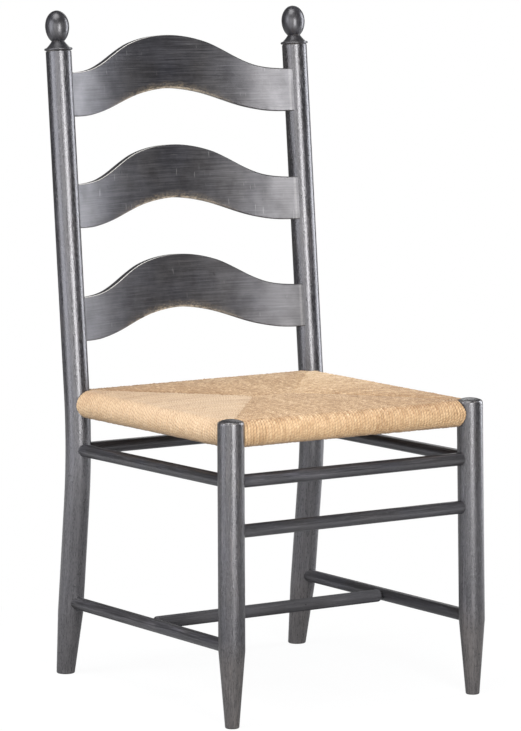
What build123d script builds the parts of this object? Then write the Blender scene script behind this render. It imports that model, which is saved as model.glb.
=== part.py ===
from build123d import *
import os
from math import asin, atan, cos, degrees, radians, sin, sqrt, tan

os.makedirs("parts", exist_ok=True)

# ---------------------------------------------------------------- dimensions
# millimetres, +Z up, the chair faces -Y, +X is the viewer's right
POST_D = 40.0            # round posts and legs
RUNG_D = 20.0            # rungs and stretchers
GLUE = 0.05              # radial glue gap in the sockets
SCRIBE_GAP = 0.15        # gap between a full tenon and the one scribed to it

# front legs: axis from the floor to the rim under the domed top
LEG_FOOT_X, LEG_FOOT_Y = 220.0, -261.43
LEG_TOP_X, LEG_TOP_Y, LEG_TOP_Z = 216.7, -255.22, 453.57
LEG_DOME_H = 6.2
LEG_DOME_R = 45.0
LEG_SHOULDER_R = 5.5
FRONT_TAPER_H = 115.9
FRONT_FOOT_D = 21.1

# rear posts: lower leg kicked back, upper post leaned back, one bend between
POST_X = 220.0
REAR_FOOT_Y = 221.74
BEND_Y, BEND_Z = 176.69, 364.21
POST_TOP_Y, POST_TOP_Z = 231.62, 981.17
BEND_R = 820.0
REAR_TAPER_H = 101.1
REAR_FOOT_D = 28.85
REAR_FOOT_SHIFT = 4.85   # the taper is cut from the front of the foot

# finial (radii and heights above the post top, along the post axis)
FINIAL_COLLAR_R = 21.9
FINIAL_NECK_R, FINIAL_NECK_H = 9.9, 15.7
FINIAL_EGG_R, FINIAL_EGG_H = 18.7, 38.9
FINIAL_H = 63.4
FINIAL_DOWEL_D, FINIAL_DOWEL_L = 14.0, 28.0

# back slats
SLAT_T = 12.0
SLAT_BOW = 48.0          # depth of the bow over the half chord below
SLAT_HALF = 205.0
SLAT_FACE_OFF = -13.5    # front face at the posts, from the post axis
SLAT_END_H = 68.5
SLAT_BASE_Z = (529.8, 703.9, 877.4)
SLAT_SKEW = (0.006, 0.012, 0.010)   # left end sits higher than the right
SLAT_ROUND = 1.6
SLAT_TENON_T, SLAT_TENON_H, SLAT_TENON_END = 6.5, 58.0, 217.0
SLAT_TENON_FRONT = -12.6  # front face of the tenon, from the post axis
PEG_D = 5.0
# rise of the upper and lower slat edges above their ends
SLAT_UPPER = ((0, 58.6), (25, 57.2), (50, 52.8), (75, 45.2), (90, 38.2), (105, 30.1),
              (120, 21.6), (132, 15.3), (145, 9.6), (157, 5.6), (173, 2.4), (190, 0.6), (205, 0.0))
SLAT_LOWER = ((0, 42.7), (25, 40.8), (45, 37.4), (60, 33.9), (75, 29.3), (90, 24.0),
              (105, 18.4), (120, 13.0), (135, 8.5), (150, 4.9), (165, 2.1), (180, 0.5), (195, 0.0))

# rungs: height at the front and at the back
RUNG_UPPER_Z = (366.36, 362.91)
RUNG_FRONT_LOW_Z = 292.06
STRETCHER_Z = (120.24, 117.64)
TENON_PAST = 8.0         # how far a lone tenon runs past the leg axis
CROSS_TENON_D, CROSS_TENON_L = 11.0, 12.0
CROSS_SHOULDER = 4.0

# seat: rails and weave, rails lie inside the leg axes
RAIL_D = 30.0
RAIL_TENON_D = 19.0
RAIL_X = 212.0
RAIL_FRONT_Y, RAIL_REAR_Y = -248.84, 176.58
RAIL_FRONT_Z, RAIL_REAR_Z = 436.0, 433.91
WEAVE_R = 20.5           # outer radius of the weave over a rail
WEAVE_T = 5.4            # thickness of the weave
BRIDGE = 70.0            # length of the centre seam of the weave
PAD_T = 24.0

R = POST_D / 2
r = RUNG_D / 2


def save(shape, name):
    export_step(shape, "parts/%s.step" % name)


def rod(a, b, rad):
    a, b = Vector(*a), Vector(*b)
    d = b - a
    return Plane(origin=a, z_dir=d) * Cylinder(rad, d.length, align=(Align.CENTER, Align.CENTER, Align.MIN))


FLOOR_CUT = Pos(0, 0, -500) * Box(2000, 2000, 1000)


# ------------------------------------------------------------- frame geometry
def leg_at(side, z):
    t = z / LEG_TOP_Z
    return (side * (LEG_FOOT_X + (LEG_TOP_X - LEG_FOOT_X) * t), LEG_FOOT_Y + (LEG_TOP_Y - LEG_FOOT_Y) * t, z)


LOW = (REAR_FOOT_Y - BEND_Y) / BEND_Z                        # kick of the lower leg
UP = (POST_TOP_Y - BEND_Y) / (POST_TOP_Z - BEND_Z)           # lean of the post
LOW_A, UP_A = atan(LOW), atan(UP)
BEND_T = BEND_R * tan((LOW_A + UP_A) / 2)
ARC_LO = (BEND_Y + BEND_T * sin(LOW_A), BEND_Z - BEND_T * cos(LOW_A))
ARC_HI = (BEND_Y + BEND_T * sin(UP_A), BEND_Z + BEND_T * cos(UP_A))
ARC_C = (ARC_HI[0] + BEND_R * cos(UP_A), ARC_HI[1] - BEND_R * sin(UP_A))


def post_y(z):
    if z <= ARC_LO[1]:
        return BEND_Y + LOW * (BEND_Z - z)
    if z >= ARC_HI[1]:
        return BEND_Y + UP * (z - BEND_Z)
    return ARC_C[0] - sqrt(BEND_R ** 2 - (z - ARC_C[1]) ** 2)


def post_at(side, z):
    return (side * POST_X, post_y(z), z)


# ----------------------------------------------------------- rungs and sockets
# two bars that meet in one leg at the same height: the bar along X keeps its
# full tenon, the side bar ends in a hollow scribed to it
def unit(a, b):
    d = Vector(*b) - Vector(*a)
    return d / d.length


sockets = {"front_leg_left": [], "front_leg_right": [], "rear_post_left": [], "rear_post_right": []}


def make_bar(a, b, rad, legs, scribed=(False, False), loose=GLUE):
    u = unit(a, b)
    pa = Vector(*a) - u * (0.0 if scribed[0] else TENON_PAST)
    pb = Vector(*b) + u * (0.0 if scribed[1] else TENON_PAST)
    bar = rod(pa, pb, rad)
    for q, cut in ((a, scribed[0]), (b, scribed[1])):
        if cut:
            q = Vector(*q)
            bar = bar - rod(q - Vector(60, 0, 0), q + Vector(60, 0, 0), rad + SCRIBE_GAP)
    g = 0.0 if scribed[0] else 0.4, 0.0 if scribed[1] else 0.4
    bore = rod(pa - u * g[0], pb + u * g[1], rad + loose)
    for leg in legs:
        sockets[leg].append(bore)
    return bar


bars = {}
zf, zr = RUNG_UPPER_Z
for side, name in ((-1, "left"), (1, "right")):
    fl, rp = "front_leg_" + name, "rear_post_" + name
    a, b = leg_at(side, zf), post_at(side, zr)
    bars["side_rung_upper_" + name] = make_bar(a, b, r, (fl, rp), (True, True))
    bars["side_stretcher_" + name] = make_bar(leg_at(side, STRETCHER_Z[0]), post_at(side, STRETCHER_Z[1]), r, (fl, rp))

both_front = ("front_leg_left", "front_leg_right")
both_rear = ("rear_post_left", "rear_post_right")
WIDE = 2 * GLUE
bars["front_rung_upper"] = make_bar(leg_at(-1, zf), leg_at(1, zf), r, both_front, loose=WIDE)
bars["front_rung_lower"] = make_bar(leg_at(-1, RUNG_FRONT_LOW_Z), leg_at(1, RUNG_FRONT_LOW_Z), r, both_front)
bars["rear_rung"] = make_bar(post_at(-1, zr), post_at(1, zr), r, both_rear, loose=WIDE)

# seat rails: round bars stepped down to tenons
corner = {(-1, -1): (-RAIL_X, RAIL_FRONT_Y, RAIL_FRONT_Z), (1, -1): (RAIL_X, RAIL_FRONT_Y, RAIL_FRONT_Z),
          (-1, 1): (-RAIL_X, RAIL_REAR_Y, RAIL_REAR_Z), (1, 1): (RAIL_X, RAIL_REAR_Y, RAIL_REAR_Z)}


def rail_body(a, b, s0, s1):
    # full-size middle of a rail with coned shoulders, s0 and s1 measured from its ends
    d = Vector(*b) - Vector(*a)
    rt, rb, c = RAIL_TENON_D / 2, RAIL_D / 2, 5.0
    pts = [(0, s0 - c), (rt, s0 - c), (rb, s0), (rb, d.length - s1), (rt, d.length - s1 + c), (0, d.length - s1 + c)]
    face = make_face(Plane.XZ * Polyline(*pts, close=True))
    return Plane(origin=a, z_dir=d) * revolve(face, Axis.Z)


rt = RAIL_TENON_D / 2
rails = {}
q = corner[(-1, -1)], corner[(1, -1)]
rails["seat_rail_front"] = make_bar(*q, rt, both_front, loose=WIDE) + rail_body(*q, 22.5, 22.5)
q = corner[(-1, 1)], corner[(1, 1)]
rails["seat_rail_rear"] = make_bar(*q, rt, both_rear, loose=WIDE) + rail_body(*q, 19.5, 19.5)
for side, name in ((-1, "left"), (1, "right")):
    q = corner[(side, -1)], corner[(side, 1)]
    rails["seat_rail_" + name] = (make_bar(*q, rt, ("front_leg_" + name, "rear_post_" + name), (True, True))
                                  + rail_body(*q, 20.5, 19.5))

# cross stretcher between the middles of the lower side rungs
mids = []
for side in (-1, 1):
    a, b = Vector(*leg_at(side, STRETCHER_Z[0])), Vector(*post_at(side, STRETCHER_Z[1]))
    mids.append((a + b) / 2)
span = abs(mids[1].X - mids[0].X)
end = r + 1.2                                       # shoulder clear of the side rung
body = span - 2 * end
ct, cl = CROSS_TENON_D / 2, CROSS_TENON_L
cross_profile = make_face(
    Plane.XZ * (Polyline((0, end - cl), (ct, end - cl), (ct, end), (r - CROSS_SHOULDER, end))
                + ThreePointArc((r - CROSS_SHOULDER, end),
                                (r - CROSS_SHOULDER * (1 - sin(radians(45))), end + CROSS_SHOULDER * (1 - cos(radians(45)))),
                                (r, end + CROSS_SHOULDER))
                + Line((r, end + CROSS_SHOULDER), (r, span - end - CROSS_SHOULDER))
                + ThreePointArc((r, span - end - CROSS_SHOULDER),
                                (r - CROSS_SHOULDER * (1 - sin(radians(45))), span - end - CROSS_SHOULDER * (1 - cos(radians(45)))),
                                (r - CROSS_SHOULDER, span - end))
                + Polyline((r - CROSS_SHOULDER, span - end), (ct, span - end), (ct, span - end + cl), (0, span - end + cl))
                + Line((0, span - end + cl), (0, end - cl))))
bars["cross_stretcher"] = Plane(origin=mids[0], z_dir=(1, 0, 0)) * revolve(cross_profile, Axis.Z)
for side, name, m in ((-1, "left", mids[0]), (1, "right", mids[1])):
    hole = rod(m + Vector(-side * (end + 2), 0, 0), m - Vector(-side * (cl - end + GLUE), 0, 0), ct + GLUE)
    bars["side_stretcher_" + name] = bars["side_stretcher_" + name] - hole

# ------------------------------------------------------------------ back slats
SLAT_R = (SLAT_HALF ** 2 + SLAT_BOW ** 2) / (2 * SLAT_BOW)


def edge_rise(table, x):
    # smooth curve through the table of edge heights, level beyond its last point
    x = abs(x)
    if x >= table[-1][0]:
        return table[-1][1]
    pts = [(-table[1][0], table[1][1])] + list(table) + [(table[-1][0] + 15.0, table[-1][1])]
    for i in range(1, len(pts) - 2):
        (x0, h0), (x1, h1), (x2, h2), (x3, h3) = pts[i - 1:i + 3]
        if x1 <= x <= x2:
            d = x2 - x1
            m1, m2 = (h2 - h0) / (x2 - x0) * d, (h3 - h1) / (x3 - x1) * d
            t = (x - x1) / d
            return ((2 * t ** 3 - 3 * t ** 2 + 1) * h1 + (t ** 3 - 2 * t ** 2 + t) * m1
                    + (3 * t ** 2 - 2 * t ** 3) * h2 + (t ** 3 - t ** 2) * m2)
    return table[-1][1]


def slat_blank(skew):
    # local frame: X across, Y back (normal to the lean), Z up along the lean
    mid_r = SLAT_R + SLAT_T / 2
    cy = SLAT_FACE_OFF + SLAT_BOW - SLAT_R         # centre of the bow, in front of the slat
    reach = asin(214.0 / mid_r)
    count = 33
    sections = []
    for i in range(count + 1):
        a = -reach + 2 * reach * i / count
        x = mid_r * sin(a)
        lo, up = edge_rise(SLAT_LOWER, x), SLAT_END_H + edge_rise(SLAT_UPPER, x)
        station = Plane(origin=(x, cy + mid_r * cos(a), (lo + up) / 2 - skew * x), x_dir=(sin(a), cos(a), 0), z_dir=(cos(a), -sin(a), 0))
        sections.append(station * RectangleRounded(SLAT_T, up - lo, SLAT_ROUND))
    return loft(sections)


slats, pegs = {}, []
mort = {"rear_post_left": [], "rear_post_right": []}
for base, skew, name in zip(SLAT_BASE_Z, SLAT_SKEW, ("slat_bottom", "slat_middle", "slat_top")):
    frame = Plane(origin=(0, post_y(base), base), x_dir=(1, 0, 0), z_dir=(0, sin(UP_A), cos(UP_A)))
    body = slat_blank(skew)
    for side in (-1, 1):
        body = body - Pos(side * POST_X, 0, -60) * Cylinder(R + 0.12, 300, align=(Align.CENTER, Align.CENTER, Align.MIN))
        body = body - Pos(side * (POST_X + 30), 0, 40) * Box(60, 200, 300)
    body = body.solids().sort_by(SortBy.VOLUME)[-1]
    for side, post in ((-1, "rear_post_left"), (1, "rear_post_right")):
        x0, x1 = 196.0, SLAT_TENON_END
        ym = SLAT_TENON_FRONT + SLAT_TENON_T / 2
        zm = SLAT_END_H / 2 - skew * side * SLAT_HALF
        tenon = Pos(side * (x0 + x1) / 2, ym, zm) * Box(x1 - x0, SLAT_TENON_T, SLAT_TENON_H)
        # the tenon only grows out of the shoulder inside the post
        tenon = tenon & (Pos(side * POST_X, 0, -60) * Cylinder(R + 0.6, 300, align=(Align.CENTER, Align.CENTER, Align.MIN)))
        body = body + tenon
        hole = Pos(side * (x0 + x1) / 2, ym, zm) * Box(x1 - x0 + 2 * GLUE, SLAT_TENON_T + 2 * GLUE, SLAT_TENON_H + 2 * GLUE)
        mort[post].append(frame.location * hole)
        # peg from the back of the post through the tenon
        px, pz = side * 210.5, zm
        yb = sqrt(R ** 2 - (POST_X - 210.5) ** 2)
        peg = rod((px, SLAT_TENON_FRONT - 2.0, pz), (px, yb - 0.4, pz), PEG_D / 2)
        body = body - rod((px, -20, pz), (px, 20, pz), PEG_D / 2 + GLUE)
        mort[post].append(frame.location * rod((px, SLAT_TENON_FRONT - 2.0 - GLUE, pz), (px, yb + 4, pz), PEG_D / 2 + GLUE))
        pegs.append(frame.location * peg)
    slats[name] = frame.location * body

# -------------------------------------------------------------------- posts
def make_post(side):
    x = side * POST_X
    zt = REAR_TAPER_H
    y_t = post_y(zt)
    mid = (ARC_C[0] - BEND_R * cos((UP_A - LOW_A) / 2), ARC_C[1] + BEND_R * sin((UP_A - LOW_A) / 2))
    path = (Line((x, y_t, zt), (x, ARC_LO[0], ARC_LO[1]))
            + ThreePointArc((x, ARC_LO[0], ARC_LO[1]), (x, mid[0], mid[1]), (x, ARC_HI[0], ARC_HI[1]))
            + Line((x, ARC_HI[0], ARC_HI[1]), (x, POST_TOP_Y, POST_TOP_Z)))
    start = Plane(origin=(x, y_t, zt), z_dir=(0, -sin(LOW_A), cos(LOW_A)))
    shaft = sweep(start * Circle(R), path=path)
    # foot: oblique taper, cut level on the floor
    drop = -6.0
    k = (zt - drop) / zt
    foot_r = R - (R - REAR_FOOT_D / 2) * k
    fy = post_y(0) + REAR_FOOT_SHIFT
    y_end = y_t + (fy - y_t) * k
    foot = loft([start * Circle(R), Plane(origin=(x, y_end, drop), z_dir=(0, -sin(LOW_A), cos(LOW_A))) * Circle(foot_r)],
                ruled=True)
    foot = foot - FLOOR_CUT
    rim = foot.faces().sort_by(Axis.Z)[0].edges()
    foot = fillet(rim, 2.0)
    post = shaft + foot
    # dowel hole for the finial
    axis = Vector(0, sin(UP_A), cos(UP_A))
    top = Vector(x, POST_TOP_Y, POST_TOP_Z)
    post = post - rod(top + axis * 2, top - axis * (FINIAL_DOWEL_L + 1.5), FINIAL_DOWEL_D / 2 + GLUE)
    return post


for side, name in ((-1, "left"), (1, "right")):
    key = "rear_post_" + name
    post = make_post(side)
    for cut in sockets[key] + mort[key]:
        post = post - cut
    save(post, key)

# ------------------------------------------------------------------- finials
for side, name in ((-1, "left"), (1, "right")):
    cr, nr, er, fh = FINIAL_COLLAR_R, FINIAL_NECK_R, FINIAL_EGG_R, FINIAL_H
    dr, dl = FINIAL_DOWEL_D / 2, FINIAL_DOWEL_L
    lip0, lip1, neck, mid = 1.4, 5.2, FINIAL_NECK_H, FINIAL_EGG_H
    low_b = (mid - neck) / sqrt(1 - (nr / er) ** 2)
    a_neck = degrees(asin((mid - neck) / low_b))
    # egg: points on two half ellipses joined by arcs, and a round cap
    egg = [(er * cos(radians(a)), mid - low_b * sin(radians(a))) for a in (a_neck * k / 6 for k in range(6, 0, -1))]
    egg += [(er * cos(radians(a)), mid + (fh - mid) * sin(radians(a))) for a in (0, 11, 22, 33, 44, 53, 62)]
    egg[0] = (nr, neck)
    ex, ez = egg[-1]
    cap_r = (ex ** 2 + (fh - ez) ** 2) / (2 * (fh - ez))
    half = asin(ex / cap_r) / 2
    cap = (cap_r * sin(half), fh - cap_r + cap_r * cos(half))
    outline = (Line((0, -dl), (dr, -dl)) + Line((dr, -dl), (dr, 0.05)) + Line((dr, 0.05), (R - 0.6, 0.05))
               + ThreePointArc((R - 0.6, 0.05), (R - 1.3, 0.75), (R - 0.4, lip0))
               + ThreePointArc((R - 0.4, lip0), (cr, (lip0 + lip1) / 2), (R - 0.9, lip1))
               + ThreePointArc((R - 0.9, lip1), (14.1, 10.2), (nr, neck)))
    for i in range(0, len(egg) - 2, 2):
        outline += ThreePointArc(*egg[i:i + 3])
    outline = (outline + ThreePointArc(egg[-1], cap, (0, fh))
               + Line((0, fh), (0, -dl)))
    solid = revolve(make_face(Plane.XZ * outline), Axis.Z)
    place = Plane(origin=(side * POST_X, POST_TOP_Y, POST_TOP_Z), x_dir=(1, 0, 0), z_dir=(0, sin(UP_A), cos(UP_A)))
    save(place.location * solid, "finial_" + name)

# ---------------------------------------------------------------- front legs
for side, name in ((-1, "left"), (1, "right")):
    key = "front_leg_" + name
    foot, top = Vector(*leg_at(side, 0)), Vector(*leg_at(side, LEG_TOP_Z))
    L = (top - foot).length
    fr = FRONT_FOOT_D / 2
    drop = 4.0
    fr0 = fr - (R - fr) * drop / FRONT_TAPER_H
    # top: shallow dome that rolls over a round shoulder into the side
    e, dr, apex = LEG_SHOULDER_R, LEG_DOME_R, L + LEG_DOME_H
    c = apex - dr
    zf = c + sqrt((dr - e) ** 2 - (R - e) ** 2)
    a = atan((zf - c) / (R - e))
    b = (radians(90) + a) / 2
    outline = (Polyline((0, -drop), (fr0, -drop), (R, FRONT_TAPER_H), (R, zf))
               + ThreePointArc((R, zf), (R - e + e * cos(a / 2), zf + e * sin(a / 2)), (dr * cos(a), c + dr * sin(a)))
               + ThreePointArc((dr * cos(a), c + dr * sin(a)), (dr * cos(b), c + dr * sin(b)), (0, apex))
               + Line((0, apex), (0, -drop)))
    leg = Plane(origin=foot, z_dir=top - foot) * revolve(make_face(Plane.XZ * outline), Axis.Z)
    leg = leg - FLOOR_CUT
    leg = fillet(leg.faces().sort_by(Axis.Z)[0].edges(), 2.2)
    for cut in sockets[key]:
        leg = leg - cut
    save(leg, key)

for name, shape in {**bars, **rails, **slats}.items():
    save(shape, name)
save(Compound(children=pegs), "slat_pegs")

# ---------------------------------------------------------------------- seat
# local frame: centre of the rail rectangle, tilted with the rails
SEAT_HW = RAIL_X
SEAT_HD = (RAIL_REAR_Y - RAIL_FRONT_Y) / 2
seat_mid = (0, (RAIL_FRONT_Y + RAIL_REAR_Y) / 2, (RAIL_FRONT_Z + RAIL_REAR_Z) / 2)
tilt = degrees(atan((RAIL_REAR_Z - RAIL_FRONT_Z) / (RAIL_REAR_Y - RAIL_FRONT_Y)))
SEAT = Location(seat_mid, (tilt, 0, 0))


def rolled_slab(rad):
    # slab with half-round edges, mitred at the corners
    w = Plane.XZ * SlotCenterToCenter(2 * SEAT_HW, 2 * rad)
    d = Plane.YZ * SlotCenterToCenter(2 * SEAT_HD, 2 * rad)
    return extrude(w, 400, both=True) & extrude(d, 400, both=True)


weave = SEAT * (rolled_slab(WEAVE_R) - rolled_slab(WEAVE_R - WEAVE_T))
for side in (-1, 1):
    a, b = Vector(*leg_at(side, 300)), Vector(*leg_at(side, 520))
    weave = weave - rod(a, b, R + 0.25)
    path = [post_at(side, z) for z in (399.0, 436.0, 475.0)]
    bend = sweep(Plane(origin=path[0], z_dir=Vector(*path[1]) - Vector(*path[0])) * Circle(R + 0.35),
                 path=Spline(*path))
    weave = weave - bend
weave = weave.solids().sort_by(SortBy.VOLUME)[-1] if len(weave.solids()) > 1 else weave
save(weave, "rush_seat")

inset = RAIL_D / 2 + 2.0
px, py, bx, g = SEAT_HW - inset, SEAT_HD - inset, BRIDGE / 2, 1.5
plans = {"front": [(-px + g, -py), (px - g, -py), (bx, -g), (-bx, -g)],
         "rear": [(-px + g, py), (px - g, py), (bx, g), (-bx, g)],
         "left": [(-px, -py + g), (-px, py - g), (-bx - 2 * g, 0)],
         "right": [(px, -py + g), (px, py - g), (bx + 2 * g, 0)]}
for name, pts in plans.items():
    pad = extrude(make_face(Polyline(*pts, close=True)), PAD_T / 2, both=True)
    save(SEAT * pad, "seat_stuffing_" + name)

print("parts written:", len(os.listdir("parts")))
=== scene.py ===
import bpy
import math
import numpy as np
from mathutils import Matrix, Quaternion, Vector


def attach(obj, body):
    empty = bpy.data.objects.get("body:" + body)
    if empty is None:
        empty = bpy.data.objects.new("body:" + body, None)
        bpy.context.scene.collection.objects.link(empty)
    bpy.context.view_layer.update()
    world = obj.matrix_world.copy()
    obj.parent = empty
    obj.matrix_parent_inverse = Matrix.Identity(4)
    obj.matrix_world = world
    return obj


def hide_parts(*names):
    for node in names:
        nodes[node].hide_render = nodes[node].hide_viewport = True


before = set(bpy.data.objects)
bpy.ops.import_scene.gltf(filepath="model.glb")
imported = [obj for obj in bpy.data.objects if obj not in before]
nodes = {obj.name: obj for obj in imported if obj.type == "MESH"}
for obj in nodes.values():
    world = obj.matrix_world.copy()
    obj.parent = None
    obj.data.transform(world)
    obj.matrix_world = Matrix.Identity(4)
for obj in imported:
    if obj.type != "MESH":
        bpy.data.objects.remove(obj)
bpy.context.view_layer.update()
rng = np.random.default_rng(4107)

MM = 0.001

# ------------------------------------------------------------------ node tools


def new_mat(name):
    m = bpy.data.materials.new(name)
    m.use_nodes = True
    nt = m.node_tree
    bsdf = nt.nodes["Principled BSDF"]
    return m, nt, bsdf


def add(nt, kind, **props):
    n = nt.nodes.new(kind)
    for k, v in props.items():
        setattr(n, k, v)
    return n


def put(nt, node, sock, value):
    # a node output is linked, anything else is set on the socket
    s = node.inputs[sock]
    if isinstance(value, bpy.types.NodeSocket):
        nt.links.new(value, s)
    else:
        s.default_value = value


def math_node(nt, op, a, b=0.0, c=None, clamp=False):
    n = add(nt, "ShaderNodeMath", operation=op, use_clamp=clamp)
    put(nt, n, 0, a)
    put(nt, n, 1, b)
    if c is not None:
        put(nt, n, 2, c)
    return n.outputs[0]


def ramp(nt, fac, stops, interp="LINEAR"):
    n = add(nt, "ShaderNodeValToRGB")
    n.color_ramp.interpolation = interp
    els = n.color_ramp.elements
    els[0].position, els[1].position = stops[0][0], stops[-1][0]
    for i, (pos, col) in enumerate(stops):
        e = els[0] if i == 0 else els[-1] if i == len(stops) - 1 else els.new(pos)
        e.position = pos
    for i, (pos, col) in enumerate(stops):
        col = (col, col, col) if isinstance(col, (int, float)) else col
        els[i].color = (*col, 1.0)
    put(nt, n, 0, fac)
    return n.outputs[0]


def mix(nt, fac, a, b, blend="MIX"):
    n = add(nt, "ShaderNodeMix", data_type="RGBA", blend_type=blend)
    n.clamp_factor = True
    put(nt, n, 0, fac)
    for s, v in ((6, a), (7, b)):
        put(nt, n, s, (*v, 1.0) if isinstance(v, tuple) and len(v) == 3 else v)
    return n.outputs[2]


def noise(nt, vec, scale, detail=3.0, rough=0.55, distortion=0.0):
    n = add(nt, "ShaderNodeTexNoise")
    put(nt, n, "Vector", vec)
    put(nt, n, "Scale", scale)
    put(nt, n, "Detail", detail)
    put(nt, n, "Roughness", rough)
    put(nt, n, "Distortion", distortion)
    return n.outputs[0]


def mapped(nt, vec, scale=(1, 1, 1), loc=(0, 0, 0), rot=(0, 0, 0)):
    n = add(nt, "ShaderNodeMapping")
    put(nt, n, "Vector", vec)
    put(nt, n, "Scale", scale)
    put(nt, n, "Location", loc)
    put(nt, n, "Rotation", rot)
    return n.outputs[0]


def span(nt, v, a, b, c=0.0, d=1.0):
    n = add(nt, "ShaderNodeMapRange")
    n.clamp = True
    put(nt, n, 0, v)
    for i, x in enumerate((a, b, c, d)):
        put(nt, n, i + 1, x)
    return n.outputs[0]


# --------------------------------------------------------------- painted wood
# brushed charcoal paint over brown wood: streaks run along the length of the piece
AXIS_SCALE = {"x": (0.035, 1, 1), "y": (1, 0.035, 1), "z": (1, 1, 0.035), "slat": (0.03, 0.02, 1)}
BEND_Z, LEAN_LOW, LEAN_UP = 0.3642, 0.1237, 0.0890       # the rear posts bend here


def straightened(nt, tc):
    # undoes the lean of the bent posts, so that the grain follows them
    xyz = add(nt, "ShaderNodeSeparateXYZ")
    put(nt, xyz, 0, tc)
    over = math_node(nt, "SUBTRACT", xyz.outputs[2], BEND_Z)
    up = math_node(nt, "MULTIPLY", math_node(nt, "MAXIMUM", over, 0.0), LEAN_UP)
    low = math_node(nt, "MULTIPLY", math_node(nt, "MINIMUM", over, 0.0), -LEAN_LOW)
    y = math_node(nt, "SUBTRACT", xyz.outputs[1], math_node(nt, "ADD", up, low))
    out = add(nt, "ShaderNodeCombineXYZ")
    put(nt, out, 0, xyz.outputs[0])
    put(nt, out, 1, y)
    put(nt, out, 2, xyz.outputs[2])
    return out.outputs[0]


def painted(name, axis, seed, tone=1.0, brown=0.0, foot=0.0, edge=1.0, grit=1.0, slat=None, bent=False, rim_z=None, gloss=0.13, paler_low=0.0, relief=0.5, shine=1.0, toe=0.0, eased=None):
    m, nt, bsdf = new_mat(name)
    tc = add(nt, "ShaderNodeTexCoord").outputs["Object"]
    if bent:
        tc = straightened(nt, tc)
    along = mapped(nt, tc, AXIS_SCALE[axis], (seed * 1.37, seed * 0.71, seed * 0.29))
    wide = noise(nt, along, 95.0, 3.0, 0.55, 0.25)
    fine = noise(nt, along, 520.0, 2.0, 0.6)
    hair = noise(nt, along, 1500.0, 1.0, 0.5)
    short = tuple(5.0 * v if v < 0.5 else v for v in AXIS_SCALE[axis])
    pore = noise(nt, mapped(nt, tc, short, (seed * 0.9, seed * 2.1, seed)), 950.0, 2.0, 0.65)
    cloud = noise(nt, mapped(nt, tc, (1, 1, 1), (seed, -seed, seed * 0.5)), 7.0, 2.0, 0.5)

    w = 0.16 if slat else 0.40
    streak = math_node(nt, "ADD", math_node(nt, "MULTIPLY", wide, w), math_node(nt, "MULTIPLY", fine, 1.0 - w))
    streak = math_node(nt, "ADD", streak, math_node(nt, "MULTIPLY", math_node(nt, "SUBTRACT", cloud, 0.5), 0.2))
    # paint film: thin on the ridges of the grain, thick in the hollows
    lo, mid_c, hi, top_c = (0.0095, 0.0140, 0.0175, 0.027) if slat else (0.0042, 0.0110, 0.0210, 0.066)
    shade = [(0.30, lo), (0.47, mid_c), (0.57, hi), (0.74, top_c)]
    col = ramp(nt, streak, [(x, (v * tone, v * tone * 0.98, v * tone * 1.06)) for x, v in shade])
    # cooler and warmer patches
    tint = ramp(nt, noise(nt, mapped(nt, tc, (1, 1, 1), (3 + seed, 1, 2)), 16.0, 2.0, 0.5),
                [(0.35, (0.96, 0.97, 1.10)), (0.65, (1.05, 1.0, 0.96))])
    col = mix(nt, 1.0, col, tint, "MULTIPLY")
    # open pores catch more or less of the paint
    col = mix(nt, math_node(nt, "MULTIPLY", span(nt, pore, 0.56, 0.72), 0.62 * grit), col, (0.110 * tone, 0.107 * tone, 0.111 * tone))
    col = mix(nt, math_node(nt, "MULTIPLY", span(nt, pore, 0.45, 0.31), 0.75 * grit), col, (0.0030, 0.0030, 0.0034))

    # rubbed places along the grain
    amount = None
    if brown:
        rub = math_node(nt, "MULTIPLY", span(nt, fine, 0.54, 0.70), span(nt, cloud, 0.44, 0.60))
        amount = math_node(nt, "MULTIPLY", rub, brown, clamp=True)
    if foot:
        z = add(nt, "ShaderNodeSeparateXYZ")
        put(nt, z, 0, tc)
        low = span(nt, z.outputs[2], 0.0, 0.30, foot, 0.0)
        low = math_node(nt, "MULTIPLY", low, span(nt, streak, 0.46, 0.62))
        amount = low if amount is None else math_node(nt, "MAXIMUM", amount, low)
    if amount is not None:
        col = mix(nt, amount, col, (0.100, 0.076, 0.058))

    # paler towards the floor
    if paler_low:
        z = add(nt, "ShaderNodeSeparateXYZ")
        put(nt, z, 0, tc)
        col = mix(nt, math_node(nt, "MULTIPLY", span(nt, z.outputs[2], 0.44, 0.33), span(nt, streak, 0.35, 0.60, 0.7 * paler_low, paler_low)), col, (0.105, 0.103, 0.108))
    if toe:
        # thin, scuffed paint on the tapered foot
        z = add(nt, "ShaderNodeSeparateXYZ")
        put(nt, z, 0, tc)
        scuff = span(nt, z.outputs[2], 0.138, 0.096)
        col = mix(nt, math_node(nt, "MULTIPLY", scuff, span(nt, streak, 0.36, 0.62, 0.6 * toe, toe)), col, (0.160, 0.145, 0.134))
    if not slat:
        dent = noise(nt, mapped(nt, tc, (1, 1, 2.2), (seed, 2, 4)), 85.0, 2.0, 0.5)
        col = mix(nt, math_node(nt, "MULTIPLY", span(nt, dent, 0.70, 0.74), 0.75), col, (0.0035, 0.0035, 0.004))
    # paint rubbed lighter on sharp edges; on the finial lip and the slat edges this light line also stands in for the
    # highlight along the edge, so it is partly painted highlight
    if edge:
        bev = add(nt, "ShaderNodeBevel", samples=6)
        put(nt, bev, "Radius", 0.0030)
        geo = add(nt, "ShaderNodeNewGeometry")
        dot = add(nt, "ShaderNodeVectorMath", operation="DOT_PRODUCT")
        put(nt, dot, 0, bev.outputs[0])
        put(nt, dot, 1, geo.outputs["Normal"])
        rim = span(nt, dot.outputs["Value"], 0.975, 0.84)
        broken = span(nt, noise(nt, mapped(nt, tc, (1, 1, 1), (seed * 2, 5, 1)), 60.0, 3.0, 0.65), 0.40, 0.58)
        rim = math_node(nt, "MULTIPLY", math_node(nt, "MULTIPLY", rim, broken), edge, clamp=True)
        col = mix(nt, rim, col, (0.225, 0.205, 0.185))
    if rim_z:
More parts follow.
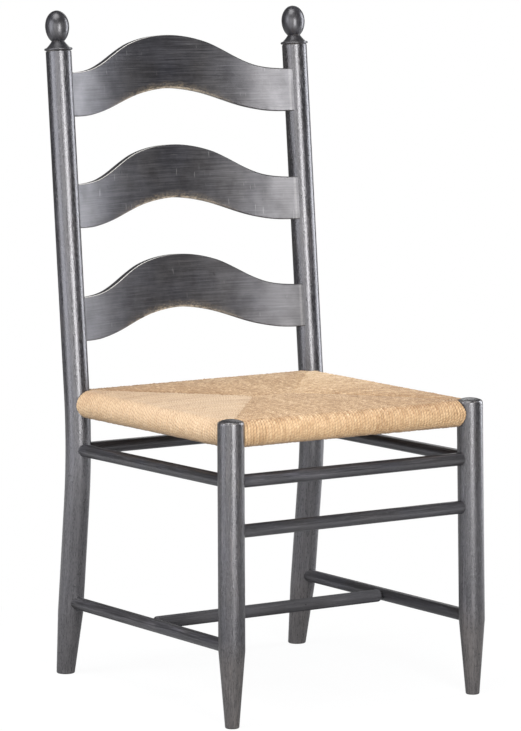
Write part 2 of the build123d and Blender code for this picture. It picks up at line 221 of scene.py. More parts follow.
        # bright specks where the shoulder of the leg is rubbed
        z = add(nt, "ShaderNodeSeparateXYZ")
        put(nt, z, 0, tc)
        ring = math_node(nt, "MULTIPLY", span(nt, z.outputs[2], rim_z - 0.0018, rim_z - 0.0004),
                         span(nt, z.outputs[2], rim_z + 0.0020, rim_z + 0.0004))
        spk = noise(nt, mapped(nt, tc, (1, 1, 1), (seed, 3, 8)), 430.0, 2.0, 0.6)
        col = mix(nt, math_node(nt, "MULTIPLY", ring, span(nt, spk, 0.48, 0.64)), col, (0.17, 0.16, 0.155))
    if slat:
        base, skew, curve_pts = slat
        xyz = add(nt, "ShaderNodeSeparateXYZ")
        put(nt, xyz, 0, tc)
        ax = math_node(nt, "ABSOLUTE", xyz.outputs[0])
        fc = add(nt, "ShaderNodeFloatCurve")
        pts = fc.mapping.curves[0].points
        for i, (px, ph) in enumerate(curve_pts):
            u, v = px / 210.0, ph / 60.0
            if i < 2:
                pts[i].location = (u, v)
            else:
                pts.new(u, v)
        fc.mapping.update()
        put(nt, fc, "Value", math_node(nt, "DIVIDE", ax, 0.210))
        edge_z = math_node(nt, "MULTIPLY_ADD", fc.outputs[0], 0.060, base * MM)
        edge_z = math_node(nt, "MULTIPLY_ADD", xyz.outputs[0], -skew, edge_z)
        above = math_node(nt, "SUBTRACT", xyz.outputs[2], edge_z)
        frayed = noise(nt, mapped(nt, tc, (1, 1, 1), (seed, 0, 9)), 70.0, 4.0, 0.7)
        speck = noise(nt, mapped(nt, tc, (0.45, 0.3, 1), (seed, 7, 9)), 620.0, 2.0, 0.6)
        mid = span(nt, xyz.outputs[0], -0.130, -0.045)
        mid = math_node(nt, "MULTIPLY", mid, span(nt, xyz.outputs[0], 0.115, 0.025))
        # paint worn thin above the lower edge: speckled brown first, pale wood right on the edge
        reach = math_node(nt, "MULTIPLY_ADD", frayed, 0.016, -0.0035)
        depth = math_node(nt, "SUBTRACT", above, reach)
        fade = math_node(nt, "MULTIPLY", span(nt, depth, 0.0075, -0.0035), span(nt, speck, 0.38, 0.66))
        col = mix(nt, math_node(nt, "MULTIPLY", math_node(nt, "MULTIPLY", fade, mid), 0.80), col, (0.190, 0.150, 0.100))
        low = math_node(nt, "MULTIPLY", span(nt, above, 0.0034, 0.0004), span(nt, frayed, 0.36, 0.56))
        low = math_node(nt, "MULTIPLY", low, span(nt, speck, 0.30, 0.55, 0.45, 1.0))
        col = mix(nt, math_node(nt, "MULTIPLY", math_node(nt, "MULTIPLY", low, mid), 0.85), col, (0.46, 0.39, 0.29))
        # painted highlight: a light line along the upper front arris on the left rise, where the rounded edge faces up
        # to the lights
        facing = add(nt, "ShaderNodeSeparateXYZ")
        put(nt, facing, 0, geo.outputs["Normal"])
        arris_highlight = math_node(nt, "MULTIPLY", span(nt, facing.outputs[1], -0.82, -0.66), span(nt, facing.outputs[1], -0.06, -0.20))
        arris_highlight = math_node(nt, "MULTIPLY", arris_highlight, span(nt, above, 0.030, 0.045))
        arris_highlight = math_node(nt, "MULTIPLY", arris_highlight, span(nt, xyz.outputs[0], 0.010, -0.060))
        arris_highlight = math_node(nt, "MULTIPLY", arris_highlight, span(nt, speck, 0.25, 0.50, 0.55, 1.0))
        col = mix(nt, math_node(nt, "MULTIPLY", arris_highlight, 0.9), col, (0.62, 0.60, 0.57))
        # faint dents and scratches
        scr = noise(nt, mapped(nt, tc, (0.10, 0.05, 1.6), (seed, 4, 2), (0, 0.25, 0)), 260.0, 1.0, 0.4)
        col = mix(nt, math_node(nt, "MULTIPLY", span(nt, scr, 0.74, 0.79), 0.30), col, (0.12, 0.12, 0.12))
        nick = noise(nt, mapped(nt, tc, (2.2, 0.05, 0.25), (seed, 1, 6)), 150.0, 1.0, 0.4)
        col = mix(nt, math_node(nt, "MULTIPLY", span(nt, nick, 0.735, 0.78), 0.40), col, (0.18, 0.18, 0.18))
        # a light line across the right end of the slat, next to the post
        end = math_node(nt, "MULTIPLY", span(nt, xyz.outputs[0], 0.1975, 0.2000), span(nt, xyz.outputs[0], 0.2024, 0.2010))
        end = math_node(nt, "MULTIPLY", end, span(nt, speck, 0.30, 0.60, 0.3, 1.0))
        col = mix(nt, math_node(nt, "MULTIPLY", end, 0.20), col, (0.36, 0.35, 0.34))
        # painted shade: a dark line in the crease where the slat goes into the post
        col = mix(nt, math_node(nt, "MULTIPLY", span(nt, ax, 0.2020, 0.2036), 0.85), col, (0.003, 0.003, 0.0034))
        spots = noise(nt, mapped(nt, tc, (1, 0.1, 1), (seed * 3, 2, 7)), 150.0, 1.0, 0.3)
        col = mix(nt, math_node(nt, "MULTIPLY", span(nt, spots, 0.765, 0.80), 0.8), col, (0.004, 0.004, 0.005))

    put(nt, bsdf, "Base Color", col)
    rough = math_node(nt, "MULTIPLY_ADD", fine, 0.16, gloss)
    rough = math_node(nt, "ADD", rough, math_node(nt, "MULTIPLY", pore, 0.16 * grit))
    put(nt, bsdf, "Roughness", rough)
    if slat:
        # the film is dull along the brush marks and in smudged patches
        sheen = math_node(nt, "MULTIPLY", span(nt, streak, 0.40, 0.60, 0.74, 1.0), span(nt, noise(nt, mapped(nt, tc, (1, 1, 1), (seed, 8, 3)), 26.0, 3.0, 0.6), 0.36, 0.60, 0.62, 1.0))
        put(nt, bsdf, "Specular IOR Level", math_node(nt, "MULTIPLY", sheen, 0.86))
    else:
        bsdf.inputs["Specular IOR Level"].default_value = 0.75 * shine
    bsdf.inputs["Specular Tint"].default_value = (0.98, 0.96, 1.0, 1.0)
    bsdf.inputs["Coat Weight"].default_value = 0.06 if slat else 0.25 * shine
    bsdf.inputs["Coat Roughness"].default_value = 0.22
    height = math_node(nt, "ADD", math_node(nt, "MULTIPLY", fine, 0.5), math_node(nt, "MULTIPLY", hair, 0.25))
    height = math_node(nt, "ADD", height, math_node(nt, "MULTIPLY", wide, 0.15))
    height = math_node(nt, "ADD", height, math_node(nt, "MULTIPLY", pore, 0.8 * grit))
    bump = add(nt, "ShaderNodeBump")
    put(nt, bump, "Strength", relief)
    put(nt, bump, "Distance", 0.0006)
    put(nt, bump, "Height", height)
    if eased:
        # the turned shoulder above the foot is eased, so the light fades over it
        top, slope, reach = eased
        z = add(nt, "ShaderNodeSeparateXYZ")
        put(nt, z, 0, tc)
        n = add(nt, "ShaderNodeSeparateXYZ")
        put(nt, n, 0, add(nt, "ShaderNodeNewGeometry").outputs["Normal"])
        gap = math_node(nt, "SUBTRACT", span(nt, z.outputs[2], top + reach, top - reach), span(nt, z.outputs[2], top + 0.0001, top - 0.0001))
        tilt = add(nt, "ShaderNodeCombineXYZ")
        put(nt, tilt, 0, n.outputs[0])
        put(nt, tilt, 1, n.outputs[1])
        put(nt, tilt, 2, math_node(nt, "ADD", n.outputs[2], math_node(nt, "MULTIPLY", gap, -slope)))
        unit = add(nt, "ShaderNodeVectorMath", operation="NORMALIZE")
        put(nt, unit, 0, tilt.outputs[0])
        put(nt, bump, "Normal", unit.outputs[0])
    put(nt, bsdf, "Normal", bump.outputs[0])
    return m


SLAT_LOWER = ((0, 42.7), (25, 40.8), (45, 37.4), (60, 33.9), (75, 29.3), (90, 24.0),
              (105, 18.4), (120, 13.0), (135, 8.5), (150, 4.9), (165, 2.1), (180, 0.5), (195, 0.0), (210, 0.0))
# height of the lower front edge: the bow carries the leaned slat down as well as back
SLAT_EDGE = [(x, 0.9961 * h - 0.0887 * (34.5 - 48.0 * (x / 205.0) ** 2)) for x, h in SLAT_LOWER]
SLAT_BASE = {"slat_bottom": (529.8, 0.006), "slat_middle": (703.9, 0.012), "slat_top": (877.4, 0.010)}

mats = {}
for i, side in enumerate(("left", "right")):
    mats["rear_post_" + side] = painted("post_paint_" + side, "z", 3.1 + i, 1.1, brown=0.10, foot=0.10, edge=0.0, bent=True, paler_low=0.36, toe=0.08 + 0.17 * i)
    mats["finial_" + side] = painted("finial_paint_" + side, "z", 5.7 + i, 0.9, edge=0.5, grit=0.16, bent=True, gloss=0.28, relief=0.06, shine=0.8)
    mats["front_leg_" + side] = painted("leg_paint_" + side, "z", 8.3 + i, 0.90, brown=0.20, foot=0.20, edge=0.0, rim_z=0.4545, paler_low=0.12 * i, toe=0.25, eased=(0.1159, 0.0812, 0.016))
    mats["side_rung_upper_" + side] = painted("side_rung_paint_" + side, "y", 11.9 + i, 1.2, edge=0.0, grit=0.35, gloss=0.24, paler_low=0.03, relief=0.3)
    mats["side_stretcher_" + side] = painted("stretcher_paint_" + side, "y", 14.2 + i, 1.2, edge=0.0, grit=0.22, gloss=0.24, paler_low=0.05, relief=0.3)
for i, n in enumerate(("front_rung_upper", "front_rung_lower", "rear_rung")):
    mats[n] = painted("paint_" + n, "x", 17.3 + 1.9 * i, 1.2, edge=0.0, grit=0.35, gloss=0.24, paler_low=0.14, relief=0.3)
# the paint has gone dull on the bar where feet rest
mats["cross_stretcher"] = painted("paint_cross_stretcher", "x", 23.0, 1.2, edge=0.0, grit=0.35, gloss=0.45, paler_low=0.44, relief=0.3, shine=0.14)
for i, n in enumerate(("slat_top", "slat_middle", "slat_bottom")):
    mats[n] = painted("paint_" + n, "slat", 25.1 + 2.3 * i, 1.0, edge=0.5, grit=0.20, gloss=0.27 + 0.05 * i, relief=0.4, slat=(*SLAT_BASE[n], SLAT_EDGE))
mats["slat_pegs"] = painted("peg_paint", "y", 33.3, 0.9, edge=0.6)


def bare_wood(name, axis, seed):
    m, nt, bsdf = new_mat(name)
    tc = add(nt, "ShaderNodeTexCoord").outputs["Object"]
    along = mapped(nt, tc, AXIS_SCALE[axis], (seed, seed * 0.3, 0))
    g = noise(nt, along, 220.0, 4.0, 0.6, 0.4)
    col = ramp(nt, g, [(0.3, (0.30, 0.18, 0.09)), (0.55, (0.48, 0.31, 0.17)), (0.75, (0.60, 0.43, 0.26))])
    put(nt, bsdf, "Base Color", col)
    put(nt, bsdf, "Roughness", math_node(nt, "MULTIPLY_ADD", g, 0.3, 0.45))
    bump = add(nt, "ShaderNodeBump")
    put(nt, bump, "Strength", 0.3)
    put(nt, bump, "Distance", 0.0005)
    put(nt, bump, "Height", g)
    put(nt, bsdf, "Normal", bump.outputs[0])
    return m


def card(name):
    m, nt, bsdf = new_mat(name)
    tc = add(nt, "ShaderNodeTexCoord").outputs["Object"]
    g = noise(nt, tc, 300.0, 4.0, 0.7)
    col = ramp(nt, g, [(0.3, (0.26, 0.18, 0.10)), (0.7, (0.42, 0.31, 0.19))])
    put(nt, bsdf, "Base Color", col)
    put(nt, bsdf, "Roughness", math_node(nt, "MULTIPLY_ADD", g, 0.2, 0.7))
    return m


rail_x, rail_y, stuffing = bare_wood("rail_wood_x", "x", 2.0), bare_wood("rail_wood_y", "y", 5.0), card("stuffing_card")
for n in ("seat_rail_front", "seat_rail_rear"):
    mats[n] = rail_x
for n in ("seat_rail_left", "seat_rail_right"):
    mats[n] = rail_y
for n in ("front", "rear", "left", "right"):
    mats["seat_stuffing_" + n] = stuffing

for n, o in nodes.items():
    if n in mats:
        o.data.materials.clear()
        o.data.materials.append(mats[n])

# -------------------------------------------------------------------- rush seat
# seat frame: centre of the rail rectangle, u along X, v along Y, w up, tilted back
RAIL_X, RAIL_FRONT_Y, RAIL_REAR_Y = 212.0, -248.84, 176.58
RAIL_FRONT_Z, RAIL_REAR_Z = 436.0, 433.91
WEAVE_R = 20.5
HW, HD = RAIL_X, (RAIL_REAR_Y - RAIL_FRONT_Y) / 2
SEAT_MID = np.array((0, (RAIL_FRONT_Y + RAIL_REAR_Y) / 2, (RAIL_FRONT_Z + RAIL_REAR_Z) / 2))
TILT = math.atan((RAIL_REAR_Z - RAIL_FRONT_Z) / (RAIL_REAR_Y - RAIL_FRONT_Y))
TURN = np.array(((1, 0, 0), (0, math.cos(TILT), -math.sin(TILT)), (0, math.sin(TILT), math.cos(TILT))))

COURSES = 33              # courses round the frame before the side rails are full
SIDE_HALF = 199.3         # half the length of a side rail between leg and post
FRONT_HALF, REAR_HALF = 196.8, 199.8
LEG_U, POST_U, LEG_V, LEG_RAD = 216.85, 220.0, 219.35, 20.0
BRIDGE_HALF = 35.0        # half the centre seam
CROWN, REAR_LIFT = 0.5, 1.4
CORD_H = 4.6              # cord height, its width follows the pitch
RC = WEAVE_R - CORD_H / 2
LAY = 9.4                 # one turn of the two-ply twist

STEP_TOP, STEP_UNDER, SIDES = 1.15, 3.2, 10


def smooth(x):
    x = np.clip(x, 0, 1)
    return x * x * (3 - 2 * x)


def wander(s, amp, wave):
    # smooth seeded irregularity along a cord
    n = max(4, int(s[-1] / wave) + 3)
    return np.interp(s, np.linspace(0, s[-1], n), rng.normal(0, amp, n))


def top_rise(u, v):
    # the stuffing keeps the top level, with a slight crown and a thicker roll at the back
    crown = CROWN * np.clip(1 - (u / HW) ** 2, 0, 1) * np.clip(1 - (v / HD) ** 2, 0, 1)
    return crown + REAR_LIFT * (1 + v / HD) * (1 + 0.2 * u / HW)


def cord_path(reach, across, half, along_is_v, sign):
    # centreline in the plane of the cord: d is the distance inwards from the rail,
    # from the seam, over the rail and back underneath to the seam
    L = reach
    d = np.linspace(L, 0, max(4, int(L / STEP_TOP)) + 1)
    k = d / L
    pos = sign * (half - d)
    rise = top_rise(across, pos) if along_is_v else top_rise(pos, across)
    pillow = 2.0 * min(1.0, L / 110.0) * np.sin(np.pi * np.clip(k, 0, 1)) ** 0.8
    gap = L - d                                     # distance from the seam
    deep = min(1.0, L / 45.0)
    dive = deep * (2.2 * np.exp(-(gap / 2.2) ** 2) + 0.9 * np.exp(-(gap / 9.0) ** 2))
    top = RC + rise + pillow * smooth(d / 25.0) - dive
    a = np.radians(np.linspace(90, 270, int(np.pi * RC / STEP_TOP))[1:-1])
    wrap_d = RC * np.cos(a)
    wrap_w = RC * np.sin(a) + rise[-1] * smooth(np.sin(a))
    du = np.linspace(0, L, max(4, int(L / STEP_UNDER)) + 1)
    under = -RC + deep * 3.6 * np.exp(-((L - du) / 2.4) ** 2)
    # how far round the rail: 0 on the top, 90 at the outside, 180 underneath
    turned = np.concatenate([np.zeros(len(d)), np.degrees(a) - 90, np.full(len(du), 180.0)])
    return np.concatenate([d, wrap_d, du]), np.concatenate([top, wrap_w, under]), turned


def corner_fill(along, leg_along, leg_across, half_across):
    # how much closer to the leg the cords can lie where they go round its curve
    dp = np.abs(along) - leg_along
    room = leg_across - np.sqrt(np.clip(LEG_RAD ** 2 - dp ** 2, 0, None)) - half_across
    return np.where(np.abs(dp) < LEG_RAD, np.clip(room, 0, 9.0), 0.0)


# per gore: a tone offset that is painted light, the cords lighter or darker by how the light falls along their
# direction, and how strong the speckle along the cords is on the top
GORE_SHADE_AND_GRAIN = {"front": (-0.02, 2.7), "rear": (-0.07, 2.9), "left": (0.01, 1.0), "right": (-0.05, 2.3)}
# painted sheen: the left gore and roll are mixed towards a pale tan, as they face the light
PAINTED_SHEEN = {"left": 0.34}
# painted light and shade: change of tone towards the corner of a piece
CORNER_SHADE = {"rush_front_right": -0.30, "rush_front_left": -0.10, "rush_rear_left": -0.30, "rush_left_rear": -0.26, "rush_right_rear": 0.38, "rush_right_front": -0.32}


def build_gore(name, cords, along_is_v, sign, half):
    # cords: list of (place across, reach, width, leg along, leg across, half length of the rail)
    verts, faces, uvs, bake, tint, flank, sheen_paint, base = [], [], [], [], [], [], [], 0
    ang = np.arange(SIDES) / SIDES * 2 * np.pi
    total = len(cords)
    gore_shade, coarse = GORE_SHADE_AND_GRAIN[name.split("_")[1]]
    fade = PAINTED_SHEEN.get(name.split("_")[1], 0.0)
    slope = CORNER_SHADE.get(name, 0.0)
    flip = (along_is_v and sign > 0) or (not along_is_v and sign < 0)
    for i, (across, reach, width, leg_along, leg_across, rail_half) in enumerate(cords):
        d, w, turned = cord_path(reach + rng.uniform(0.4, 3.4), across, half, along_is_v, sign)
        dd, dw = np.gradient(d), np.gradient(w)
        seg = np.hypot(np.diff(d), np.diff(w))
        s = np.concatenate([[0], np.cumsum(seg)])
        ln = np.hypot(dd, dw) + 1e-9
        td, tw = dd / ln, dw / ln
        nd, nw = tw, -td                            # outward normal in the plane of the cord
        fill = corner_fill(half - d, leg_along, leg_across, rail_half)
        near = 1 - smooth((rail_half - abs(across)) / 45.0)
        side = wander(s, 0.17, 17.0) + np.sign(across) * fill * near
        lift = wander(s, 0.17, 8.0) + rng.normal(0, 0.07)
        fat = (1 + wander(s, 0.04, 7.0))
        turn0 = rng.uniform(0, 6.28)
        lay = LAY * rng.uniform(0.85, 1.18)
        twist = s / lay + wander(s, 0.10, 35.0)
        turn = 2 * np.pi * twist + turn0
        lobe = 1 + 0.15 * np.cos(2 * (ang[None, :] - turn[:, None]))
        ca, sa = np.cos(ang)[None, :], np.sin(ang)[None, :]
        # the cords press closer together where they go round the rail
        press = 0.53 + 0.07 * (1 - near) * smooth(turned / 70.0)
        lat = across + side[:, None] + (width * press * fat * (1 + near * fill / 45.0))[:, None] * ca * lobe
        rad = lift[:, None] + (CORD_H * 0.5 * fat)[:, None] * sa * lobe
        dd2 = d[:, None] + nd[:, None] * rad
        ww = w[:, None] + nw[:, None] * rad
        pos = sign * (half - dd2)
        p = np.stack([lat, pos, ww] if along_is_v else [pos, lat, ww], axis=-1)
        n = len(s)
        verts.append(p.reshape(-1, 3))
        idx = np.arange(n * SIDES).reshape(n, SIDES) + base
        q = np.stack([idx[:-1], np.roll(idx, -1, 1)[:-1], np.roll(idx, -1, 1)[1:], idx[1:]], axis=-1).reshape(-1, 4)
        faces.append(q[:, ::-1] if flip else q)
        # pattern coordinates: round the cord, and along it in turns of the twist
        ring = np.arange(SIDES)
        r0 = np.broadcast_to(ring / SIDES, (n - 1, SIDES))
        r1 = np.broadcast_to((ring + 1) / SIDES, (n - 1, SIDES))
        s0 = np.broadcast_to(twist[:-1, None], (n - 1, SIDES))
        s1 = np.broadcast_to(twist[1:, None], (n - 1, SIDES))
        ph = turn0 / (2 * np.pi)
        uv = np.stack([np.stack([r0 - ph, s0], -1), np.stack([r1 - ph, s0], -1), np.stack([r1 - ph, s1], -1), np.stack([r0 - ph, s1], -1)], axis=2)
        k0 = np.broadcast_to((s[:-1] / s[-1])[:, None], (n - 1, SIDES))
        k1 = np.broadcast_to((s[1:] / s[-1])[:, None], (n - 1, SIDES))
        row = (i + 0.08) / total
        h = 0.84 / total
        bk = np.stack([np.stack([k0, row + h * r0], -1), np.stack([k0, row + h * r1], -1),
                       np.stack([k1, row + h * r1], -1), np.stack([k1, row + h * r0], -1)], axis=2)
        uv, bk = uv.reshape(-1, 4, 2), bk.reshape(-1, 4, 2)
        uvs.append(uv[:, ::-1] if flip else uv)
        bake.append(bk[:, ::-1] if flip else bk)
        on_top = 1 - smooth(turned / 100.0)
        # cord tone: random per cord and along it, plus painted light on the top by gore and towards the corner; the
        # left roll painted lighter where it faces the light, the front and rear rolls a little darker
        shade = 0.5 + rng.normal(0, 0.017) + rng.normal(0, 0.06) * on_top + wander(s, 0.03, 30.0) + wander(s, 0.08, 3.2) * (1 + (coarse - 1) * 1.15 * on_top ** 2) + (gore_shade + slope * abs(across) / rail_half) * on_top + (0.10 if fade else -0.07 if along_is_v else 0.0) * (1 - on_top)
        tint.append(np.repeat(np.clip(shade, 0, 1), SIDES))
        sheen_paint.append(np.repeat(fade * (1 - smooth(turned / 165.0)) * (1 + 2.0 * min(0.0, slope) * abs(across) / rail_half), SIDES))
        # painted shade between the cords on the top, stronger on cords running front to back, and where they turn under
        # the rail
        gapped = smooth((np.abs(np.cos(ang)) - 0.55) / 0.45)[None, :] * ((0.255 if along_is_v else 0.345) + (0.72 if along_is_v else 0.0) * on_top)[:, None]
        below = 0.36 * smooth((turned - 126.0) / 34.0) + 0.44 * smooth((turned - 150.0) / 22.0)
        flank.append(np.maximum(gapped, below[:, None]).ravel())
        # closed ends
        for cap, last in ((idx[0], False), (idx[-1], True)):
            o = cap if last != flip else cap[::-1]
            fan = np.array([[o[0], o[j], o[j + 1], o[j + 2]] for j in range(1, SIDES - 2, 2)])
            faces.append(fan)
            z = np.zeros((len(fan), 4, 2))
            uvs.append(z)
            bake.append(z + np.array([1.0 if last else 0.0, row]))
        base += n * SIDES
    p = np.concatenate(verts) @ TURN.T + SEAT_MID
    f = np.concatenate(faces)
    me = bpy.data.meshes.new(name)
    me.vertices.add(len(p))
    me.vertices.foreach_set("co", (p * MM).astype(np.float32).ravel())
    me.loops.add(len(f) * 4)
    me.loops.foreach_set("vertex_index", f.astype(np.int32).ravel())
    me.polygons.add(len(f))
    me.polygons.foreach_set("loop_start", (np.arange(len(f)) * 4).astype(np.int32))
    me.polygons.foreach_set("loop_total", np.full(len(f), 4, np.int32))
    me.polygons.foreach_set("use_smooth", np.ones(len(f), bool))
    for uvname, data in (("cord", uvs), ("OFBake", bake)):
        layer = me.uv_layers.new(name=uvname)
        layer.data.foreach_set("uv", np.concatenate(data).astype(np.float32).ravel())
    for attr, data in (("tint", tint), ("flank", flank), ("fade", sheen_paint)):
        at = me.attributes.new(attr, "FLOAT", "POINT")
        at.data.foreach_set("value", np.concatenate(data).astype(np.float32))
    me.update(calc_edges=True)
    me.validate()
    o = bpy.data.objects.new(name, me)
    bpy.context.scene.collection.objects.link(o)
    return o


def rush_material():
    m, nt, bsdf = new_mat("rush_cord")
    uv = add(nt, "ShaderNodeUVMap", uv_map="cord").outputs[0]
    tint = add(nt, "ShaderNodeAttribute", attribute_name="tint").outputs["Fac"]
    tc = add(nt, "ShaderNodeTexCoord").outputs["Object"]
    # twisted paper: the crease between the two plies winds round the cord
    sep = add(nt, "ShaderNodeSeparateXYZ")
    put(nt, sep, 0, uv)
    helix = math_node(nt, "MULTIPLY", math_node(nt, "SUBTRACT", sep.outputs[0], sep.outputs[1]), 2.0)
    wob = noise(nt, tc, 330.0, 2.0, 0.5)
    helix = math_node(nt, "ADD", helix, math_node(nt, "MULTIPLY_ADD", wob, 0.30, -0.15))
    fold = math_node(nt, "ABSOLUTE", math_node(nt, "SUBTRACT", math_node(nt, "FRACT", helix), 0.5))
    fibre = noise(nt, tc, 1100.0, 2.0, 0.6)
    patch = noise(nt, tc, 13.0, 3.0, 0.55)
    speck = noise(nt, tc, 420.0, 1.0, 0.5)
    f = math_node(nt, "ADD", math_node(nt, "MULTIPLY", tint, 0.55), math_node(nt, "MULTIPLY", fibre, 0.20))
    f = math_node(nt, "ADD", f, math_node(nt, "MULTIPLY", patch, 0.20))
    f = math_node(nt, "ADD", f, math_node(nt, "MULTIPLY_ADD", speck, 0.30, -0.15))
    col = ramp(nt, f, [(0.25, (0.29, 0.172, 0.082)), (0.44, (0.43, 0.285, 0.155)), (0.58, (0.52, 0.365, 0.215)), (0.80, (0.66, 0.50, 0.325))])
    # painted sheen: the left gore and roll mixed towards a pale tan, where the light from the left falls on them
    col = mix(nt, add(nt, "ShaderNodeAttribute", attribute_name="fade").outputs["Fac"], col, (0.56, 0.45, 0.34))
    # painted shade between neighbouring cords, where they turn under the rail, and in the crease between the plies
    side = add(nt, "ShaderNodeAttribute", attribute_name="flank").outputs["Fac"]
    col = mix(nt, math_node(nt, "MULTIPLY", side, 0.88), col, (0.20, 0.104, 0.043))
    crease = span(nt, fold, 0.18, 0.0)
    col = mix(nt, math_node(nt, "MULTIPLY", crease, 0.52), col, (0.17, 0.085, 0.034))
    put(nt, bsdf, "Base Color", col)
    put(nt, bsdf, "Roughness", math_node(nt, "MULTIPLY_ADD", fibre, 0.25, 0.48))
    bsdf.inputs["Specular IOR Level"].default_value = 0.35
    bsdf.inputs["Sheen Weight"].default_value = 0.12
    bsdf.inputs["Sheen Roughness"].default_value = 0.5
    h = math_node(nt, "ADD", math_node(nt, "MULTIPLY", span(nt, fold, 0.0, 0.20), 0.5), math_node(nt, "MULTIPLY", fibre, 0.4))
    bump = add(nt, "ShaderNodeBump")
    put(nt, bump, "Strength", 0.5)
    put(nt, bump, "Distance", 0.0004)
    put(nt, bump, "Height", h)
    put(nt, bsdf, "Normal", bump.outputs[0])
    return m


rush = rush_material()
idx = np.arange(COURSES) + 0.5
side_at = SIDE_HALF * (1 - idx / COURSES)                     # courses from the corner to the middle of the side rail
pitch_s = SIDE_HALF / COURSES
ENDS = (("front", -1, FRONT_HALF, LEG_U), ("rear", 1, REAR_HALF, POST_U))
gores = []
for end, sign, half_len, leg_u in ENDS:
    pitch_f = (half_len - BRIDGE_HALF) / COURSES
    across = half_len - pitch_f * idx
    reach = HD - side_at                                      # from the rail to the diagonal seam
    extra = int(round(2 * BRIDGE_HALF / pitch_f))
    info = (LEG_V, leg_u, half_len)
    left = [(-a, r, pitch_f, *info) for a, r in zip(across, reach)]
    right = [(a, r, pitch_f, *info) for a, r in zip(across, reach)][::-1]
    bw = 2 * BRIDGE_HALF / extra
    bridge = [(-BRIDGE_HALF + (j + 0.5) * bw, HD - 0.4 * (j % 2), bw, *info) for j in range(extra)]
    row = left + bridge + right
    cut = len(row) // 2
    gores.append(("rush_%s_left" % end, row[:cut], True, sign, HD))
    gores.append(("rush_%s_right" % end, row[cut:], True, sign, HD))
for name, sign in (("left", -1), ("right", 1)):
    for end, vs, half_len, leg_u in ENDS:
        pitch_f = (half_len - BRIDGE_HALF) / COURSES
        across = half_len - pitch_f * idx
        cords = [(vs * v, HW - a, pitch_s, leg_u, LEG_V, SIDE_HALF) for v, a in zip(side_at, across)]
        gores.append(("rush_%s_%s" % (name, end), cords, False, sign, HW))

for name, cords, along_is_v, sign, half in gores:
    o = build_gore(name, cords, along_is_v, sign, half)
    o.data.materials.append(rush)
    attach(o, "root")
    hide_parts("rush_seat")

# ------------------------------------------------------------------------ stage
# pale floor disc that melts into a white surround away from the object
bpy.ops.mesh.primitive_circle_add(vertices=96, radius=4.0, fill_type="NGON", location=(0, 0, 0))
floor = bpy.context.object
floor.name = "floor"
fm, fnt, fb = new_mat("floor_pale")
ftc = add(fnt, "ShaderNodeTexCoord").outputs["Object"]
fcol = ramp(fnt, noise(fnt, ftc, 3.0, 3.0, 0.5), [(0.3, (0.89, 0.89, 0.89)), (0.7, (0.91, 0.91, 0.91))])
put(fnt, fb, "Base Color", fcol)
fb.inputs["Roughness"].default_value = 0.9
fb.inputs["Specular IOR Level"].default_value = 0.1
flen = add(fnt, "ShaderNodeVectorMath", operation="LENGTH")
put(fnt, flen, 0, ftc)
fade = span(fnt, flen.outputs["Value"], 0.25, 0.75, 0.92, 1.0)
glow = add(fnt, "ShaderNodeEmission")
put(fnt, glow, "Strength", 1.0)
fmix = add(fnt, "ShaderNodeMixShader")
put(fnt, fmix, 0, fade)
fnt.links.new(fb.outputs[0], fmix.inputs[1])
fnt.links.new(glow.outputs[0], fmix.inputs[2])
# the object sees a darker floor, so that it isn't lit from below
flp = add(fnt, "ShaderNodeLightPath")
fdim = add(fnt, "ShaderNodeBsdfDiffuse")
fgrey = mix(fnt, flp.outputs["Is Glossy Ray"], (0.15, 0.15, 0.15), span(fnt, flen.outputs["Value"], 0.6, 1.7, 0.32, 0.75))
put(fnt, fdim, "Color", fgrey)
fsel = add(fnt, "ShaderNodeMixShader")
fnt.links.new(flp.outputs["Is Camera Ray"], fsel.inputs[0])
fnt.links.new(fdim.outputs[0], fsel.inputs[1])
fnt.links.new(fmix.outputs[0], fsel.inputs[2])
fnt.links.new(fsel.outputs[0], fnt.nodes["Material Output"].inputs[0])
floor.data.materials.append(fm)

world = bpy.data.worlds.new("studio")
bpy.context.scene.world = world
world.use_nodes = True
wn = world.node_tree
wn.nodes.clear()
out = wn.nodes.new("ShaderNodeOutputWorld")
mixw = wn.nodes.new("ShaderNodeMixShader")
lp = wn.nodes.new("ShaderNodeLightPath")
soft, pale = wn.nodes.new("ShaderNodeBackground"), wn.nodes.new("ShaderNodeBackground")
soft.inputs[0].default_value = (1.0, 1.0, 1.0, 1.0)
soft.inputs[1].default_value = 0.14
pale.inputs[0].default_value = (1.0, 1.0, 1.0, 1.0)
pale.inputs[1].default_value = 1.0
wn.links.new(lp.outputs["Is Camera Ray"], mixw.inputs[0])
wn.links.new(soft.outputs[0], mixw.inputs[1])
wn.links.new(pale.outputs[0], mixw.inputs[2])
wn.links.new(mixw.outputs[0], out.inputs[0])


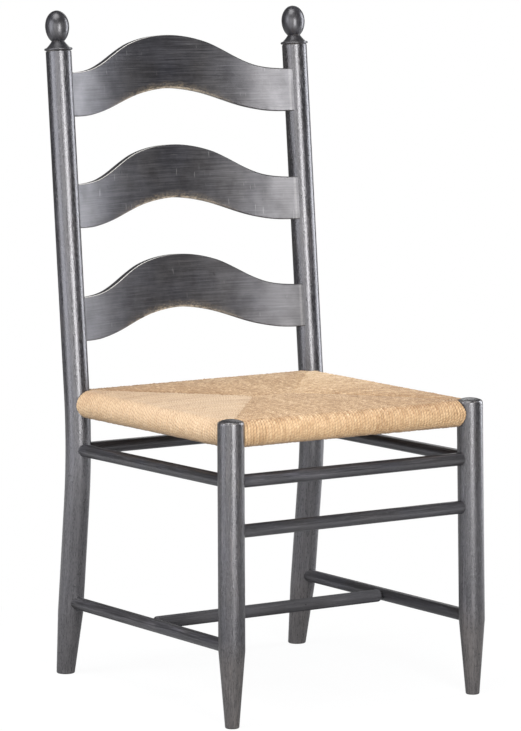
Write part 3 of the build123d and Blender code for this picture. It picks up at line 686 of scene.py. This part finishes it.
def softbox(name, az, el, dist, size, power, aim=(0, 0, 0.5), color=(1, 1, 1)):
    d = bpy.data.lights.new(name, "AREA")
    d.shape = "RECTANGLE"
    d.size, d.size_y = size
    d.energy = power
    d.color = color
    o = bpy.data.objects.new(name, d)
    bpy.context.scene.collection.objects.link(o)
    a, e = math.radians(az), math.radians(el)
    back = Vector((math.sin(a) * math.cos(e), -math.cos(a) * math.cos(e), math.sin(e)))
    o.location = Vector(aim) + back * dist
    o.rotation_mode = "QUATERNION"
    o.rotation_quaternion = (-back).to_track_quat("-Z", "Y")
    o.visible_camera = False
    return o


# tall panels that stand on the floor round the object, and one overhead
softbox("key", -13, 8, 2.9, (0.9, 1.7), 105, (0, 0, 0.55))
softbox("near_camera", -55, 6, 3.2, (1.5, 2.2), 42, (0, 0, 0.80))
softbox("fill_left", -95, 8, 3.0, (1.9, 2.4), 76, (0, 0, 0.85), (0.965, 0.985, 1.05))
softbox("rim_right", 84, 8, 3.0, (1.1, 2.4), 78, (0, 0, 0.85), (0.965, 0.985, 1.05))
softbox("backdrop", 141, 27, 3.2, (1.1, 1.0), 7, (0, 0, 0.6))
softbox("top", -70, 70, 2.8, (1.8, 1.8), 66)

# ----------------------------------------------------------------------- camera
cam_data = bpy.data.cameras.new("camera")
cam = bpy.data.objects.new("camera", cam_data)
bpy.context.scene.collection.objects.link(cam)
bpy.context.scene.camera = cam
PX_W, PX_H = 521, 731
YAW, PITCH, DIST, FOCAL_PX = -33.15, 7.26, 5.88025, 3795.92
target = Vector((0, -0.00335, 0.49122))
a, e = math.radians(YAW), math.radians(PITCH)
back = Vector((math.sin(a) * math.cos(e), -math.cos(a) * math.cos(e), math.sin(e)))
settle = Quaternion((1, 0, 0), 0.0045)
cam.location = settle @ (target + back * DIST) + Vector((0, 0.00226, 0.00412))
cam.rotation_mode = "QUATERNION"
cam.rotation_quaternion = settle @ (-back).to_track_quat("-Z", "Y")
cam_data.sensor_width = 36.0
cam_data.lens = FOCAL_PX * 36.0 / PX_H
cam_data.shift_x = (PX_W / 2 - 260.52) / PX_H
cam_data.shift_y = (367.31 - PX_H / 2) / PX_H
cam_data.clip_start, cam_data.clip_end = 0.05, 100.0

bpy.context.scene.view_settings.view_transform = "Standard"
bpy.context.scene.view_settings.look = "None"
